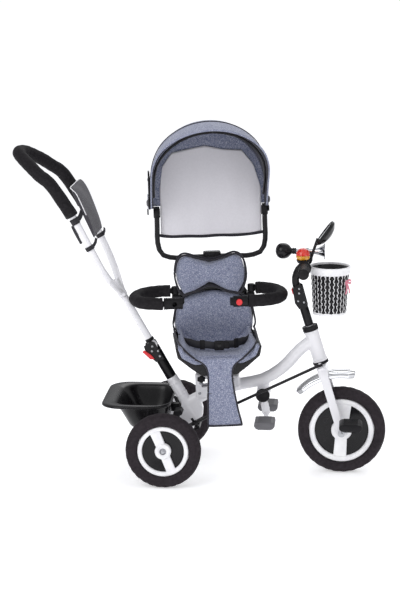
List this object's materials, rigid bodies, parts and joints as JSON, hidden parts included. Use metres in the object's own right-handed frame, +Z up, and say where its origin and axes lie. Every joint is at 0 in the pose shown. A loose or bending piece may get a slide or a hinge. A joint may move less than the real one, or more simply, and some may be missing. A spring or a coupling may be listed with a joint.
{
  "type": "children's tricycle",
  "caption": "Push-along children's tricycle with swivelling padded seat, folding hood, bumper arms, steerable parent handle, pedals and baskets.",
  "frame": {"origin": "on the floor under the middle of the whole length and width", "axes": "+X forward, towards the front wheel; +Y to the rider's left when facing forward; +Z up. The seat faces -Y at rest."},
  "size_m": [1.0809, 0.432, 1.0316],
  "materials": {
    "white_paint": "gloss enamel",
    "white_plastic": "satin moulded",
    "tyre_foam": "matt foam",
    "black_plastic": "satin moulded",
    "black_paint": "satin powder coat",
    "bare_steel": "bright zinc",
    "chrome": "polished",
    "red_plastic": "gloss moulded",
    "grey_plastic": "satin moulded",
    "red_lens": "clear coloured lens",
    "pink_ribbon": "satin ribbon",
    "dark_mesh": "woven",
    "foam": "closed-cell foam",
    "blue_fabric": "melange weave",
    "pale_fabric": "plain weave",
    "dark_webbing": "woven webbing"
  },
  "bodies": {
    "frame": {"main_frame": "white_paint", "headset_lower_cup": "black_plastic", "headset_upper_cup": "black_plastic", "rear_axle": "bare_steel", "swivel_base": "black_plastic", "rear_basket": "black_plastic"},
    "steering": {"fork": "white_paint", "mudguard": "chrome", "stem_tube": "black_paint", "stem_clamp": "black_paint"},
    "stem_lever": {"stem_lever": "red_plastic"},
    "handlebar": {"handlebar": "black_paint", "grip_right": "black_plastic", "grip_left": "black_plastic", "horn_bulb": "black_plastic", "horn_trumpet": "chrome", "light_base": "black_plastic", "light_dome": "red_lens", "front_basket": "black_plastic", "front_basket_rim": "white_plastic", "ribbon_bow": "pink_ribbon"},
    "mirror": {"mirror": "black_plastic"},
    "front_wheel": {"front_tyre": "tyre_foam", "front_rim": "white_plastic", "crank_axle": "bare_steel"},
    "pedal_right": {"pedal_right": "grey_plastic"},
    "pedal_left": {"pedal_left": "grey_plastic"},
    "rear_wheel_right": {"rear_tyre_right": "tyre_foam", "rear_rim_right": "white_plastic"},
    "rear_wheel_left": {"rear_tyre_left": "tyre_foam", "rear_rim_left": "white_plastic"},
    "push_shaft": {"push_shaft": "black_paint", "push_clamp": "black_paint"},
    "push_lever": {"push_lever": "red_plastic"},
    "push_handle": {"push_tube": "white_paint", "push_grip": "foam", "handle_pouch": "dark_mesh"},
    "steering_rod": {"steering_rod": "black_paint"},
    "footrest": {"footrest_arm": "white_paint", "foot_peg_right": "grey_plastic", "foot_peg_left": "grey_plastic"},
    "brake_pedal": {"brake_pedal": "black_plastic"},
    "seat": {"seat_shell": "black_plastic", "seat_cushion": "blue_fabric", "head_pillow": "blue_fabric", "seat_flap": "blue_fabric", "lap_belt": "dark_webbing", "belt_buckle": "black_plastic", "canopy_tube": "black_paint", "hood_fabric": "blue_fabric", "hood_panel": "pale_fabric", "hood_bracket_left": "black_plastic", "hood_bracket_right": "black_plastic"},
    "hood_bow": {"hood_bow": "black_paint"},
    "left_arm": {"left_arm_tube": "black_paint", "left_arm_foam": "foam"},
    "right_arm": {"right_arm_tube": "black_paint", "right_arm_foam": "foam"},
    "arm_release_button": {"arm_release_button": "red_plastic"},
    "seat_release_knob": {"seat_release_knob": "black_plastic"}
  },
  "joints": [
    {"name": "steering_turn", "type": "hinge", "parent": "frame", "child": "steering", "pos_m": [0.413, 0, 0.1275], "axis": [-0.3007, 0, 0.9537], "range_deg": [-35, 35]},
    {"name": "stem_lever_press", "type": "hinge", "parent": "steering", "child": "stem_lever", "pos_m": [0.26869, 0, 0.52867], "axis": [0, 1, 0], "range_deg": [-20, 0], "stiffness_Nm_per_rad": 0.5},
    {"name": "handlebar_tilt", "type": "hinge", "parent": "steering", "child": "handlebar", "pos_m": [0.2852, 0, 0.53283], "axis": [0, 1, 0], "range_deg": [-5, 5]},
    {"name": "mirror_turn", "type": "hinge", "parent": "handlebar", "child": "mirror", "pos_m": [0.309, -0.018, 0.627], "axis": [0, 0, 1], "range_deg": [-30, 30]},
    {"name": "front_wheel_spin", "type": "hinge", "parent": "steering", "child": "front_wheel", "pos_m": [0.413, 0, 0.1275], "axis": [0, 1, 0], "continuous": true},
    {"name": "pedal_right_spin", "type": "hinge", "parent": "front_wheel", "child": "pedal_right", "pos_m": [0.43945, -0.092, 0.16391], "axis": [0, 1, 0], "continuous": true},
    {"name": "pedal_left_spin", "type": "hinge", "parent": "front_wheel", "child": "pedal_left", "pos_m": [0.38655, 0.092, 0.09109], "axis": [0, 1, 0], "continuous": true},
    {"name": "rear_wheel_right_spin", "type": "hinge", "parent": "frame", "child": "rear_wheel_right", "pos_m": [-0.09, -0.195, 0.108], "axis": [0, 1, 0], "continuous": true},
    {"name": "rear_wheel_left_spin", "type": "hinge", "parent": "frame", "child": "rear_wheel_left", "pos_m": [-0.09, 0.195, 0.108], "axis": [0, 1, 0], "continuous": true},
    {"name": "push_shaft_turn", "type": "hinge", "parent": "frame", "child": "push_shaft", "pos_m": [-0.0851, 0, 0.275], "axis": [-0.5, 0, 0.866], "range_deg": [-35, 35]},
    {"name": "push_lever_press", "type": "hinge", "parent": "push_shaft", "child": "push_lever", "pos_m": [-0.13896, 0, 0.33628], "axis": [0, 1, 0], "range_deg": [-35, 0], "stiffness_Nm_per_rad": 0.5},
    {"name": "push_handle_fold", "type": "hinge", "parent": "push_shaft", "child": "push_handle", "pos_m": [-0.1391, 0, 0.36853], "axis": [0, 1, 0], "range_deg": [-75, 0]},
    {"name": "steering_rod_turn", "type": "hinge", "parent": "steering", "child": "steering_rod", "pos_m": [0.34874, -0.054, 0.33131], "axis": [-0.3007, 0, 0.9537], "range_deg": [-35, 35]},
    {"name": "footrest_fold", "type": "hinge", "parent": "frame", "child": "footrest", "pos_m": [0.1835, 0, 0.231], "axis": [0, 1, 0], "range_deg": [0, 68], "deforming": ["seat_flap"]},
    {"name": "brake_press", "type": "hinge", "parent": "frame", "child": "brake_pedal", "pos_m": [-0.09, -0.069, 0.108], "axis": [0, 1, 0], "range_deg": [0, 12], "stiffness_Nm_per_rad": 3},
    {"name": "seat_release_pull", "type": "slide", "parent": "frame", "child": "seat_release_knob", "axis": [0, -1, 0], "range_m": [0, 0.006], "stiffness_N_per_m": 200},
    {"name": "seat_swivel", "type": "hinge", "parent": "frame", "child": "seat", "pos_m": [0.0485, 0, 0.288], "axis": [-0.0262, 0, 0.9997], "range_deg": [-18, 82], "deforming": ["seat_flap"]},
    {"name": "left_arm_open", "type": "hinge", "parent": "seat", "child": "left_arm", "pos_m": [-0.08122, 0.07552, 0.51568], "axis": [-0.0262, 0, 0.9997], "range_deg": [0, 20]},
    {"name": "right_arm_open", "type": "hinge", "parent": "seat", "child": "right_arm", "pos_m": [0.14053, 0.10669, 0.52149], "axis": [-0.0262, 0, 0.9997], "range_deg": [-14, 8]},
    {"name": "arm_release_press", "type": "slide", "parent": "right_arm", "child": "arm_release_button", "axis": [-0.1391, 0.9903, -0.0036], "range_m": [0, 0.0025], "stiffness_N_per_m": 200},
    {"name": "hood_fold", "type": "hinge", "parent": "seat", "child": "hood_bow", "pos_m": [0.01478, 0.09805, 0.77929], "axis": [-0.9899, -0.1392, -0.0259], "range_deg": [0, 45], "deforming": ["hood_fabric"]}
  ],
  "couplings": [
    {"joint": "push_shaft_turn", "follows": "steering_turn", "ratio": 1},
    {"joint": "steering_rod_turn", "follows": "steering_turn", "ratio": -1}
  ]
}
